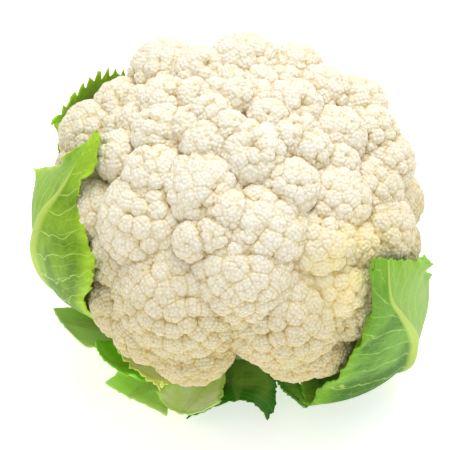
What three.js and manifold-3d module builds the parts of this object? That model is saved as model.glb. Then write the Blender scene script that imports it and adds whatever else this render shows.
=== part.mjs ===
// A trimmed head of cauliflower standing on its cut stem.
// Millimetres, +Z up. The origin is the middle of the cut face of the stem.
// Directions round the head are given as a turn (degrees round +Z from +X) and a lean (degrees from +Z).

import * as THREE from "three";
import { mergeVertices } from "three/addons/utils/BufferGeometryUtils.js";
import { ConvexHull } from "three/addons/math/ConvexHull.js";
import Module from "manifold-3d";

const wasm = await Module();
wasm.setup();

// ---- driving dimensions -------------------------------------------------------------------------

const HEAD_RADIUS = 79; // to the tops of the florets, across
const HEAD_RISE = 71; // to the tops of the florets, upwards from the middle of the head
const HEAD_MIDDLE = 78; // height of the middle of the head
const CORE_DEPTH = 15; // the branching core lies this far under the tops of the florets
const CORE_DROP = 38; // from the middle of the head down to the underside of the core
const CORE_SHOULDER_RADIUS = 50; // where the trunk under the head goes into its core
const CORE_SHOULDER_HEIGHT = 46;
const NECK_RADIUS = 25; // where the trunk meets the stem
const STEM_HEIGHT = 24;
const STEM_RADIUS = 26;
const STEM_BEVEL = 1.5;
const STEM_SIDES = 32;
const TOUCHING_GAP = 0.3;

const LOBE_AREA = 120; // square millimetres of floret surface to each lobe
const LOBES_LEAST = 3;
const LOBE_RISE = 2.6;
const LOBE_BURIED = 0.5; // a lobe this far under another floret is left out
const LOBE_CLEARANCE = 7; // least distance between two lobes
const CREASE_DEPTH = 1.5; // of the creases between lobes, under the floret's dome
const CREASE_DEEPEST = 6; // under the mean level of the lobes round it
const SHOULDER_SHARE = 0.55; // a lobe's shoulder stands this far from its top to the crease
const SHOULDER_RISE = 0.7;
const FLORET_CAP = 100; // degrees of each floret's dome that carry lobes
const FLORET_TWIST = 50; // degrees that each floret's spiral turns on from the last
const UNDERSIDE_POINTS = 30;
const UNDERSIDE_TOP = 118;
const GOLDEN_ANGLE = 137.508;

const CURD_COLOUR = 0xf3ead2;
const STEM_COLOUR = 0xdfe3b4;
const CURD_ROUGHNESS = 0.7;
const STEM_ROUGHNESS = 0.6;
const LEAF_ROUGHNESS = 0.5;

const LEAF_ROOT = STEM_RADIUS + 1; // leaves stand this far from the axis where they leave the stem
const BLADE_THICKNESS = 1.0;
const RIB_WIDTH = 5.5; // half the width of a rib where it leaves the stem
const RIB_TIP_WIDTH = 1.2;
const RIB_HEIGHT = 4.5; // how far a rib stands out of the blade where it leaves the stem
const RIB_TIP_HEIGHT = 0.4;
const TEETH_PER_WAVE = 1.6;
const TEETH_FADE = 3; // powers that keep teeth and waves to the margin of a blade
const RUFFLE_FADE = 4;
const NET_TENSION = 0.5;
const NET_STEP = 0.01; // share of a net over which its slope is taken

// Leaves, each a net of rows from the stem to the tip. A row holds the margin on the side of the smaller
// turn, the rib, and the other margin, each as a turn, a reach from the axis and a height.
const LEAVES = {
  leaf_left: {
    colour: 0x86b83c, ruffle: 2.5, waves: 5, teeth: 0.06, along: 16, across: 10,
    rows: [
      [[171, LEAF_ROOT, 15], [180, LEAF_ROOT, 14], [189, LEAF_ROOT, 15]],
      [[161, 60, 28], [183, 62, 25], [204, 60, 30]],
      [[160, 82, 46], [187, 84, 43], [214.5, 81, 71]],
      [[163, 91, 62], [188, 91, 67], [220.5, 79, 99.5]],
      [[169, 93, 80], [191, 87, 93], [209.5, 73, 98.5]],
      [[168, 90.5, 87.5], [191, 77.5, 108], [198, 72.5, 110]],
      [[176, 78, 111], [188, 70, 119], [196, 68, 120.5]],
      [[173, 63, 119], [175, 61, 124.5], [187, 59, 133]],
    ],
  },
  leaf_back_left: {
    colour: 0x7db043, ruffle: 3, waves: 4, teeth: 0.06, along: 9, across: 8,
    rows: [
      [[136, LEAF_ROOT, 15], [144, LEAF_ROOT, 14], [152, LEAF_ROOT, 15]],
      [[128, 58, 26], [143, 61, 22], [154, 59, 26]],
      [[126, 80, 46], [142, 86, 44], [155, 84, 48]],
      [[127, 84, 78], [142, 90, 78], [156, 88, 78]],
      [[131, 77, 110], [144, 82, 116], [160, 88, 104]],
    ],
  },
  leaf_right: {
    colour: 0x7fae42, ruffle: 2.5, waves: 5, teeth: 0.05, along: 16, across: 10,
    rows: [
      [[322, LEAF_ROOT, 12], [330, LEAF_ROOT, 11], [338, LEAF_ROOT, 12]],
      [[302, 48, 16], [331, 56, 11], [348, 54, 14]],
      [[295, 66, 20], [333, 80, 17], [353, 75, 20]],
      [[298, 73, 36], [332, 85, 36], [354, 82, 40]],
      [[302, 80, 54], [327, 86, 55], [352, 84.5, 52]],
      [[307, 84, 72], [320, 86, 77], [348, 86, 62]],
      [[313, 80, 88], [315.5, 85, 94], [344, 86, 70]],
      [[312, 80, 115], [318.5, 79, 109.5], [337, 83.5, 84]],
    ],
  },
  leaf_stub_left: {
    colour: 0x7ea83a, ruffle: 0.6, waves: 2, teeth: 0.01, along: 7, across: 8,
    rows: [
      [[186, LEAF_ROOT, 8], [195, LEAF_ROOT, 7], [204, LEAF_ROOT, 8]],
      [[184, 48, 13], [195, 48, 10], [207, 48, 13]],
      [[185, 70, 20], [195, 69, 16], [205, 66, 18]],
      [[187, 87, 26], [194, 83, 22], [202, 76, 20]],
    ],
  },
  leaf_front_left: {
    colour: 0x58a811, ruffle: 1, waves: 3, teeth: 0.01, along: 7, across: 8,
    rows: [
      [[208, LEAF_ROOT, 15], [216, LEAF_ROOT, 14], [224, LEAF_ROOT, 15]],
      [[202, 50, 17], [217, 51, 15], [232, 49, 17]],
      [[203, 63, 20], [216, 65, 19], [228, 64, 21]],
      [[206, 73.5, 28], [215, 75, 30], [227, 74.5, 34]],
    ],
  },
  leaf_front_inner: {
    colour: 0xc9d873, ruffle: 2, waves: 5, teeth: 0.12, along: 8, across: 8,
    rows: [
      [[229, LEAF_ROOT, 19], [234, LEAF_ROOT, 18.5], [239, LEAF_ROOT, 19]],
      [[221, 48, 26], [230, 49, 24], [240, 48, 24]],
      [[213, 61, 30], [226, 63, 30], [241, 64, 30]],
      [[213, 69, 33], [226, 71, 35], [240, 72.5, 36]],
    ],
  },
  leaf_front_outer: {
    colour: 0x86b43b, ruffle: 1.2, waves: 3, teeth: 0.01, along: 7, across: 8,
    rows: [
      [[216, LEAF_ROOT, 8], [225, LEAF_ROOT, 7], [234, LEAF_ROOT, 8]],
      [[212, 46, 9], [225, 46, 7], [237, 46, 9]],
      [[210, 62, 9], [224, 62, 7], [237, 61, 8.5]],
      [[214, 74, 8], [227, 73, 15], [241.5, 69, 12.5]],
    ],
  },
  leaf_front_low: {
    colour: 0xb5cc66, ruffle: 1, waves: 3, teeth: 0.02, along: 7, across: 8,
    rows: [
      [[241, LEAF_ROOT, 14], [248, LEAF_ROOT, 12], [255, LEAF_ROOT, 14]],
      [[238, 44, 17], [248, 44, 12], [260, 44, 17]],
      [[236, 57, 18], [247, 57, 11], [261, 56, 21]],
      [[234, 66, 20], [246, 66, 12], [261, 62, 24]],
    ],
  },
  leaf_front: {
    colour: 0x3c7420, ruffle: 1.2, waves: 3, teeth: 0.02, along: 7, across: 8,
    rows: [
      [[260, LEAF_ROOT, 8], [268, LEAF_ROOT, 8], [276, LEAF_ROOT, 8]],
      [[254, 40, 6], [268, 41, 14], [284, 41, 12]],
      [[249, 50, 6], [268, 51, 18], [287, 50, 10]],
      [[247, 61, 1.5], [268, 57, 17.5], [281.5, 58.5, 3]],
    ],
  },
  leaf_front_scrap: {
    colour: 0x35691c, ruffle: 0.8, waves: 2, teeth: 0.08, along: 6, across: 6,
    rows: [
      [[288, LEAF_ROOT, 8], [294, LEAF_ROOT, 7], [300, LEAF_ROOT, 8]],
      [[289, 42, 13], [296, 42, 10], [302, 42, 10]],
      [[291, 52, 15], [297, 54, 10], [303, 54, 8]],
      [[295, 58, 11], [298, 60, 7], [301, 59, 5]],
    ],
  },
  leaf_right_back: {
    colour: 0x7fae42, ruffle: 1, waves: 3, teeth: 0.05, along: 7, across: 8,
    rows: [
      [[13, LEAF_ROOT, 8], [22, LEAF_ROOT, 7], [31, LEAF_ROOT, 8]],
      [[8, 50, 14], [22, 50, 10], [36, 50, 14]],
      [[8, 68, 24], [22, 70, 20], [36, 68, 24]],
      [[11, 81, 38], [22, 83, 35], [33, 81, 40]],
    ],
  },
  leaf_back_right: {
    colour: 0x86b43b, ruffle: 2.5, waves: 4, teeth: 0.05, along: 9, across: 8,
    rows: [
      [[54, LEAF_ROOT, 15], [62, LEAF_ROOT, 14], [70, LEAF_ROOT, 15]],
      [[45, 58, 22], [62, 60, 16], [79, 58, 22]],
      [[42, 80, 42], [62, 85, 36], [82, 80, 42]],
      [[44, 87, 58], [62, 90, 56], [80, 87, 58]],
      [[52, 87, 70], [62, 89, 72], [72, 87, 70]],
    ],
  },
  leaf_back: {
    colour: 0x7fae42, ruffle: 2.5, waves: 4, teeth: 0.05, along: 9, across: 8,
    rows: [
      [[92, LEAF_ROOT, 8], [101, LEAF_ROOT, 7], [110, LEAF_ROOT, 8]],
      [[87, 58, 16], [102, 60, 12], [117, 58, 16]],
      [[85, 80, 38], [103, 85, 34], [121, 80, 38]],
      [[86, 87, 60], [103, 90, 58], [120, 86, 60]],
      [[94, 87, 78], [103, 89, 80], [112, 87, 78]],
    ],
  },
};

// Florets of the front, the top and the sides: turn, lean, radius, and how far the top stands out of the
// head's ellipsoid.
const FLORETS = [
  [243, 84, 31, 3], [288, 87, 28, 2], [271, 64, 25, 1], [281, 48, 21, 0], [219, 57, 22, 1], [210, 41, 14, 0],
  [249, 53, 8, 0], [242, 34, 17, 0], [285, 18, 15, 1], [303, 35, 12, 0], [307, 60, 17, 0], [306, 76, 17, 1],
  [323, 49, 16, 0], [346, 60, 15, 0], [335, 72, 16, 3], [0, 38, 13, 1], [8, 52, 13, 5], [21, 21, 13, 1],
  [35, 39, 13, 3], [182, 11, 9, 0], [225, 19, 10, 0], [183, 32, 13, 0], [160, 69, 15, 10], [147, 62, 15, 5],
  [89, 35, 16, 6], [127, 52, 16, 9], [118, 34, 13, 3], [154, 34, 12, 1], [100, 8, 8, 0], [343, 10, 8, 0],
  [241, 10, 8, 0], [332, 29, 9, 0], [325, 20, 7, 0], [27, 52, 14, 6], [359, 60, 13, 5], [303, 113, 15, 3],
  [216, 77, 14, -2], [258, 49, 8, 0], [263, 41, 9, 0], [318, 66, 11, 0], [184, 51, 11, 0], [170, 76, 14, 5],
  [222, 98, 17, 2], [60, 42, 13, 4], [250, 105, 18, 4], [291, 106, 17, 2], [234, 99, 20, 4],
];

// Florets of the back and the underside follow a golden-angle spiral.
const SPIRAL_FLORETS = 84;
const SPIRAL_LOWEST = 114; // lean of the last floret of the spiral
const SPIRAL_SMALLEST = 10;
const SPIRAL_LARGEST = 17;
const FLORET_SPACING = 0.72; // florets keep this share of their two radii apart

// ---- solids -------------------------------------------------------------------------------------

const radians = THREE.MathUtils.degToRad;

function toSolid(geometry) {
  const bare = geometry.clone();
  ["normal", "uv"].forEach((name) => bare.deleteAttribute(name));
  const merged = mergeVertices(bare, 1e-4);
  return new wasm.Manifold(new wasm.Mesh({
    numProp: 3,
    vertProperties: new Float32Array(merged.attributes.position.array),
    triVerts: new Uint32Array(merged.index.array),
  }));
}

function toGeometry(solid) {
  const mesh = solid.getMesh();
  const geometry = new THREE.BufferGeometry();
  geometry.setAttribute("position", new THREE.BufferAttribute(mesh.vertProperties, 3));
  geometry.setIndex(new THREE.BufferAttribute(mesh.triVerts, 1));
  geometry.computeVertexNormals();
  return geometry;
}

// ---- curd ---------------------------------------------------------------------------------------

function direction(turn, lean) {
  const t = radians(turn);
  const l = radians(lean);
  return new THREE.Vector3(Math.sin(l) * Math.cos(t), Math.sin(l) * Math.sin(t), Math.cos(l));
}

// Distance from the middle of the head to an ellipsoid round it.
function ellipsoidReach(ray, radius, rise) {
  const across = (ray.x * ray.x + ray.y * ray.y) / (radius * radius);
  return 1 / Math.sqrt(across + (ray.z * ray.z) / (rise * rise));
}

// A floret is a dome whose top touches the head's ellipsoid. Places are measured from the middle of the head.
function makeFloret([turn, lean, radius, proud]) {
  const ray = direction(turn, lean);
  const top = ray.clone().multiplyScalar(ellipsoidReach(ray, HEAD_RADIUS, HEAD_RISE) + proud);
  const axis = new THREE.Vector3(
    top.x / (HEAD_RADIUS * HEAD_RADIUS),
    top.y / (HEAD_RADIUS * HEAD_RADIUS),
    top.z / (HEAD_RISE * HEAD_RISE),
  ).normalize();
  return { radius, axis, top, centre: top.clone().addScaledVector(axis, -radius) };
}

// The spiral fills only where no floret stands yet.
function layOutFlorets() {
  const florets = FLORETS.map(makeFloret);
  for (let k = 0; k < SPIRAL_FLORETS; k += 1) {
    const share = (k + 0.5) / SPIRAL_FLORETS;
    const lean = THREE.MathUtils.radToDeg(Math.acos(1 - share * (1 - Math.cos(radians(SPIRAL_LOWEST)))));
    const radius = SPIRAL_SMALLEST + (SPIRAL_LARGEST - SPIRAL_SMALLEST) * share;
    const candidate = makeFloret([(k * GOLDEN_ANGLE) % 360, lean, radius, 0]);
    const free = florets.every((floret) => (
      floret.top.distanceTo(candidate.top) > FLORET_SPACING * (floret.radius + radius)
    ));
    if (free) florets.push(candidate);
  }
  return florets;
}

// Distance from the middle of the head to where a ray leaves a dome, or 0 where it misses it.
function domeReach(ray, floret) {
  const along = ray.dot(floret.centre);
  const inside = along * along - floret.centre.lengthSq() + floret.radius * floret.radius;
  return inside > 0 ? along + Math.sqrt(inside) : 0;
}

function coreReach(ray) {
  return ellipsoidReach(ray, HEAD_RADIUS - CORE_DEPTH, ray.z > 0 ? HEAD_RISE - CORE_DEPTH : CORE_DROP);
}

// The head without its lobes: the outermost of the domes and of the core between them.
function headReach(ray, florets) {
  return florets.reduce((reach, floret) => Math.max(reach, domeReach(ray, floret)), coreReach(ray));
}

// Lobes sit in a golden-angle spiral on the dome of their floret.
function lobesOf(floret, index) {
  const cap = 1 - Math.cos(radians(FLORET_CAP));
  const area = 2 * Math.PI * floret.radius * floret.radius * cap;
  const count = Math.max(LOBES_LEAST, Math.round(area / LOBE_AREA));
  const upright = new THREE.Quaternion().setFromUnitVectors(new THREE.Vector3(0, 0, 1), floret.axis);
  const lobes = [];
  for (let k = 0; k < count; k += 1) {
    const lean = THREE.MathUtils.radToDeg(Math.acos(1 - ((k + 0.5) / count) * cap));
    const axis = direction(k * GOLDEN_ANGLE + index * FLORET_TWIST, lean).applyQuaternion(upright);
    const place = floret.centre.clone().addScaledVector(axis, floret.radius);
    lobes.push({ place, ray: place.clone().normalize(), rise: LOBE_RISE });
  }
  return lobes;
}

// Under the head, where no floret grows, plain points carry the skin of the core.
function underside() {
  const points = [];
  for (let k = 0; k < UNDERSIDE_POINTS; k += 1) {
    const share = (k + 0.5) / UNDERSIDE_POINTS;
    const lean = THREE.MathUtils.radToDeg(Math.acos(-1 + share * (1 + Math.cos(radians(UNDERSIDE_TOP)))));
    const ray = direction(k * GOLDEN_ANGLE, lean);
    points.push({ place: ray.clone().multiplyScalar(coreReach(ray)), ray, rise: 0 });
  }
  return points;
}

// Lobes that another floret buries, or that crowd an earlier lobe, are left out.
function keepExposed(lobes, florets) {
  const kept = [];
  lobes.forEach((lobe) => {
    const buried = lobe.place.length() < headReach(lobe.ray, florets) - LOBE_BURIED;
    const crowded = kept.some((other) => other.place.distanceTo(lobe.place) < LOBE_CLEARANCE);
    if (!buried && !crowded) kept.push(lobe);
  });
  return kept;
}

// Each lobe is a low cushion: its top, a ring round its shoulder, and the creases it shares with its
// neighbours. Three neighbouring lobes meet at each face of the hull round the lobes' directions.
function buildLobedHead() {
  const florets = layOutFlorets();
  const lobes = keepExposed([...florets.flatMap(lobesOf), ...underside()], florets);
  const hull = new ConvexHull().setFromPoints(lobes.map((lobe) => lobe.ray));
  const lobeAt = new Map(lobes.map((lobe, index) => [lobe.ray, index]));
  const vertices = lobes.map((lobe) => lobe.place.clone().addScaledVector(lobe.ray, lobe.rise));
  const addVertex = (ray, lift, least) => {
    vertices.push(ray.clone().multiplyScalar(Math.max(headReach(ray, florets) + lift, least)));
    return vertices.length - 1;
  };

  const creases = new Map();
  const shoulders = new Map();
  hull.faces.forEach((face) => {
    const corners = [0, 1, 2].map((k) => lobeAt.get(face.getEdge(k).head().point));
    const ray = corners.reduce((sum, k) => sum.add(lobes[k].ray), new THREE.Vector3()).normalize();
    const level = corners.reduce((sum, k) => sum + lobes[k].place.length(), 0) / corners.length;
    const crease = addVertex(ray, -CREASE_DEPTH, level - CREASE_DEEPEST);
    creases.set(face, crease);
    corners.forEach((k) => {
      const shoulder = lobes[k].ray.clone().lerp(ray, SHOULDER_SHARE).normalize();
      const lift = lobes[k].rise * SHOULDER_RISE;
      shoulders.set(`${k} ${crease}`, addVertex(shoulder, lift, level - CREASE_DEEPEST + lift));
    });
  });

  const triangles = hull.faces.flatMap((face) => [0, 1, 2].flatMap((k) => {
    const edge = face.getEdge(k);
    const lobe = lobeAt.get(edge.head().point);
    const here = creases.get(face);
    const next = creases.get(edge.twin.face);
    const hereShoulder = shoulders.get(`${lobe} ${here}`);
    const nextShoulder = shoulders.get(`${lobe} ${next}`);
    return [
      [lobe, hereShoulder, nextShoulder],
      [hereShoulder, here, nextShoulder],
      [nextShoulder, here, next],
    ];
  }));
  return { vertices, triangles };
}

// The branches draw together under the head into a trunk as wide as the stem.
function buildTrunk() {
  const outline = [
    new THREE.Vector2(0, STEM_HEIGHT + TOUCHING_GAP),
    new THREE.Vector2(NECK_RADIUS, STEM_HEIGHT + TOUCHING_GAP),
    new THREE.Vector2(CORE_SHOULDER_RADIUS, CORE_SHOULDER_HEIGHT),
    new THREE.Vector2(0, HEAD_MIDDLE),
  ];
  const geometry = new THREE.LatheGeometry(outline, STEM_SIDES);
  geometry.rotateX(Math.PI / 2);
  return toSolid(geometry);
}

function buildCurd() {
  const { vertices, triangles } = buildLobedHead();
  const geometry = new THREE.BufferGeometry().setFromPoints(vertices);
  geometry.setIndex(triangles.flat());
  geometry.translate(0, 0, HEAD_MIDDLE);
  return toGeometry(toSolid(geometry).add(buildTrunk()));
}

// ---- leaves -------------------------------------------------------------------------------------

// A point of a net, from 0 at the stem to 1 at the tip, and from -1 to 1 across with the rib at 0.
function netPoint(rows, along, across) {
  const columns = [0, 1, 2].map((column) => new THREE.CatmullRomCurve3(
    rows.map((row) => new THREE.Vector3(...row[column])),
    false,
    "catmullrom",
    NET_TENSION,
  ).getPoint(along));
  const [low, rib, high] = columns;
  const place = rib.clone();
  place.addScaledVector(high.clone().sub(low), across / 2);
  place.addScaledVector(high.clone().add(low).addScaledVector(rib, -2), (across * across) / 2);
  const turn = radians(place.x);
  return new THREE.Vector3(place.y * Math.cos(turn), place.y * Math.sin(turn), place.z);
}

function sawTooth(share) {
  return 1 - Math.abs((share % 1) * 2 - 1);
}

// The middle of the blade's thickness, its margin toothed and waved, and the direction away from the head.
function leafSurface({ rows, ruffle, waves, teeth }, along, across) {
  const margin = Math.abs(across);
  const tooth = teeth * sawTooth(along * waves * TEETH_PER_WAVE) * margin ** TEETH_FADE;
  const toothed = across * (1 - tooth);
  const onward = netPoint(rows, Math.min(along + NET_STEP, 1), toothed)
    .sub(netPoint(rows, Math.max(along - NET_STEP, 0), toothed));
  const sideways = netPoint(rows, along, toothed + NET_STEP).sub(netPoint(rows, along, toothed - NET_STEP));
  const normal = sideways.cross(onward).normalize();
  const wave = ruffle * margin ** RUFFLE_FADE * along * Math.sin(2 * Math.PI * waves * along + across);
  return { point: netPoint(rows, along, toothed).addScaledVector(normal, wave), normal };
}

// Both faces of a blade, row by row: a smooth one towards the head, and an outer one with the rib on it.
function bladeFaces(leaf) {
  const inner = [];
  const outer = [];
  for (let i = 0; i <= leaf.along; i += 1) {
    const u = i / leaf.along;
    const rib = netPoint(leaf.rows, u, 0);
    const ribWidth = THREE.MathUtils.lerp(RIB_WIDTH, RIB_TIP_WIDTH, u);
    const ribHeight = THREE.MathUtils.lerp(RIB_HEIGHT, RIB_TIP_HEIGHT, u);
    for (let j = 0; j <= leaf.across; j += 1) {
      const { point, normal } = leafSurface(leaf, u, (j / leaf.across) * 2 - 1);
      const fromRib = point.distanceTo(rib) / ribWidth;
      const ridge = ribHeight * Math.exp(-fromRib * fromRib);
      inner.push(point.clone().addScaledVector(normal, -BLADE_THICKNESS / 2));
      outer.push(point.clone().addScaledVector(normal, BLADE_THICKNESS / 2 + ridge));
    }
  }
  return { inner, outer };
}

// The places of a net's outermost points, once round.
function rimOf(along, across) {
  const stride = across + 1;
  const rim = [];
  for (let j = 0; j < across; j += 1) rim.push(j);
  for (let i = 0; i < along; i += 1) rim.push(i * stride + across);
  for (let j = across; j > 0; j -= 1) rim.push(along * stride + j);
  for (let i = along; i > 0; i -= 1) rim.push(i * stride);
  return rim;
}

function buildLeaf(leaf) {
  const { inner, outer } = bladeFaces(leaf);
  const stride = leaf.across + 1;
  const back = inner.length;
  const triangles = [];
  for (let i = 0; i < leaf.along; i += 1) {
    for (let j = 0; j < leaf.across; j += 1) {
      const a = i * stride + j;
      const b = a + 1;
      const c = a + stride;
      const d = c + 1;
      triangles.push([a, c, b], [b, c, d]);
      triangles.push([back + a, back + b, back + c], [back + b, back + d, back + c]);
    }
  }
  rimOf(leaf.along, leaf.across).forEach((a, k, rim) => {
    const b = rim[(k + 1) % rim.length];
    triangles.push([a, b, back + b], [a, back + b, back + a]);
  });
  const geometry = new THREE.BufferGeometry().setFromPoints([...inner, ...outer]);
  geometry.setIndex(triangles.flat());
  return toGeometry(toSolid(geometry));
}

// ---- stem ---------------------------------------------------------------------------------------

// The stump of the stem, cut flat across, with a small bevel where the knife left the rind.
function buildStem() {
  const outline = [
    new THREE.Vector2(0, 0),
    new THREE.Vector2(STEM_RADIUS - STEM_BEVEL, 0),
    new THREE.Vector2(STEM_RADIUS, STEM_BEVEL),
    new THREE.Vector2(STEM_RADIUS, STEM_HEIGHT),
    new THREE.Vector2(0, STEM_HEIGHT),
  ];
  const geometry = new THREE.LatheGeometry(outline, STEM_SIDES);
  geometry.rotateX(Math.PI / 2);
  return toGeometry(toSolid(geometry));
}

// ---- the part -----------------------------------------------------------------------------------

function makePiece(name, geometry, color, roughness) {
  const piece = new THREE.Mesh(geometry, new THREE.MeshStandardMaterial({ color, roughness }));
  piece.name = name;
  return piece;
}

const cauliflower = new THREE.Group();
cauliflower.add(makePiece("curd", buildCurd(), CURD_COLOUR, CURD_ROUGHNESS));
cauliflower.add(makePiece("stem", buildStem(), STEM_COLOUR, STEM_ROUGHNESS));
Object.entries(LEAVES).forEach(([name, leaf]) => {
  cauliflower.add(makePiece(name, buildLeaf(leaf), leaf.colour, LEAF_ROUGHNESS));
});

export default cauliflower;
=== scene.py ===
"""The looks of a trimmed head of cauliflower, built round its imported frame.

Shapes are in millimetres until a mesh is written, and materials, lights and the camera in metres. A direction
round the head is a turn, in degrees round +Z from +X, and a lean, in degrees from +Z. A colour is a screen
colour, written 0xRRGGBB.
"""

import logging
import math
from collections.abc import Callable, Iterator
from contextlib import contextmanager
from dataclasses import dataclass, field
from enum import Enum

import bpy
import numpy as np
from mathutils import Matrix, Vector


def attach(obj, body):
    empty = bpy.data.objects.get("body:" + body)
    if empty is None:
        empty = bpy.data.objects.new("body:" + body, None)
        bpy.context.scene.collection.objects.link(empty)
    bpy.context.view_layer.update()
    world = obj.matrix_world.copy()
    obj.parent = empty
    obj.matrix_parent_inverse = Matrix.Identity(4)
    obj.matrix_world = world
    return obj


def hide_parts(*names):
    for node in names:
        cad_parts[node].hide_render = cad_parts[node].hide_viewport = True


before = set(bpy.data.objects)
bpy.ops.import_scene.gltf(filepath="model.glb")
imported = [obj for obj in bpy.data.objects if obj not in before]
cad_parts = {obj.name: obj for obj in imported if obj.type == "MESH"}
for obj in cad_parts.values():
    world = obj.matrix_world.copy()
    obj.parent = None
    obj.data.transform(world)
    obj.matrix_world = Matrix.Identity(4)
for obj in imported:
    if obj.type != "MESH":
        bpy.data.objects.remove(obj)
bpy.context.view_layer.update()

log = logging.getLogger("cauliflower")

MM = 0.001
GOLDEN_TURN = math.radians(137.508)
GOLDEN_SHARE = 0.618
ICOSAHEDRON_FACES = 20
SELECT_FACES = (False, False, True)
BODY = "root"
LAYER_NAMES = ("lobe", "bud", "bead")

Place = tuple[float, float, float]
Row = tuple[Place, Place, Place]


def linear(colour: int) -> tuple[float, float, float]:
    """Makes a screen colour linear.

    Args:
        colour: the screen colour.

    Returns:
        Red, green and blue from 0 to 1.
    """
    shares = [((colour >> shift) & 255) / 255 for shift in (16, 8, 0)]
    red, green, blue = (s / 12.92 if s < 0.04045 else ((s + 0.055) / 1.055) ** 2.4 for s in shares)
    return red, green, blue


def direction(turn: float, lean: float) -> np.ndarray:
    """The unit vector at a turn and a lean given in degrees."""
    turn, lean = np.radians(turn), np.radians(lean)
    return np.array([np.sin(lean) * np.cos(turn), np.sin(lean) * np.sin(turn), np.cos(lean)])


def golden_sphere(count: int, twist: float = 0.0) -> np.ndarray:
    """Unit vectors about evenly apart, on a golden-angle spiral.

    Args:
        count: how many.
        twist: turns the spiral, in radians.

    Returns:
        The vectors.
    """
    k = np.arange(count) + 0.5
    height = 1 - 2 * k / count
    ring = np.sqrt(1 - height**2)
    turn = k * GOLDEN_TURN + twist
    return np.stack([ring * np.cos(turn), ring * np.sin(turn), height], axis=1)


def smooth_step(value: np.ndarray, low: float, high: float) -> np.ndarray:
    """Rises smoothly from 0 where value is low to 1 where it is high."""
    share = np.clip((value - low) / (high - low), 0, 1)
    return share * share * (3 - 2 * share)


def unit(vectors: np.ndarray) -> np.ndarray:
    """Vectors, along the last axis, scaled to a length of 1."""
    return vectors / np.linalg.norm(vectors, axis=-1, keepdims=True)


# ---- shader maths -------------------------------------------------------------------------------


def arithmetic(operation: str, flipped: bool = False) -> Callable[["Wire", "Wire | float"], "Wire"]:
    """Makes an operator of wires.

    Args:
        operation: what a Math node does with the two values.
        flipped: True where the other value comes first.

    Returns:
        The operator.
    """

    def operator(wire: "Wire", other: "Wire | float") -> "Wire":
        """A wire joined with another value."""
        return wire.painter.maths(operation, *((other, wire) if flipped else (wire, other)))

    return operator


@dataclass
class Wire:
    """A socket of a material that sums can be written on."""

    painter: "Painter"
    socket: bpy.types.NodeSocket

    __add__, __radd__ = arithmetic("ADD"), arithmetic("ADD", flipped=True)
    __sub__, __rsub__ = arithmetic("SUBTRACT"), arithmetic("SUBTRACT", flipped=True)
    __mul__, __rmul__ = arithmetic("MULTIPLY"), arithmetic("MULTIPLY", flipped=True)
    __truediv__, __pow__ = arithmetic("DIVIDE"), arithmetic("POWER")

    def __abs__(self) -> "Wire":
        """This without its sign."""
        return self.painter.maths("ABSOLUTE", self)


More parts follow.
